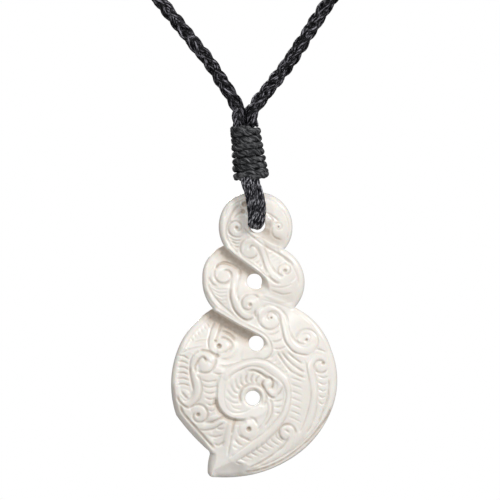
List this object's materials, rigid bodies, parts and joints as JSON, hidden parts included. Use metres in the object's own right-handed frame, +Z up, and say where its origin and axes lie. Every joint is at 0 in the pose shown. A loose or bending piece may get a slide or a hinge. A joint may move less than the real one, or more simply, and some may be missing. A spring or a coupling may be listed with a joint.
{
  "type": "bone twist pendant necklace",
  "caption": "Carved bone pendant in the form of a double twist with a hooked spiral body, hanging from a black braided neck cord with a whipped binding.",
  "frame": {"origin": "middle of the closure at the nape, the highest point of the neck loop, where the necklace hangs", "axes": "+Z up, +X to the right seen from the front, and the carved front faces -Y; the pendant hangs down along -Z"},
  "size_m": [0.132, 0.0216, 0.2378],
  "materials": {
    "bone": "polished carved bone",
    "strands": "waxed strands",
    "thread": "waxed thread",
    "cord": "waxed round braid"
  },
  "bodies": {
    "necklace": {"bail_loop": "strands", "binding": "thread", "cord_left": "cord", "cord_right": "cord", "closure": "thread"},
    "twist": {"pendant": "bone"}
  },
  "joints": [
    {"name": "pendant_swing", "type": "hinge", "parent": "necklace", "child": "twist", "pos_m": [0.0027, -0.014, -0.177], "axis": [0, 1, 0], "range_deg": [-75, 75]}
  ]
}
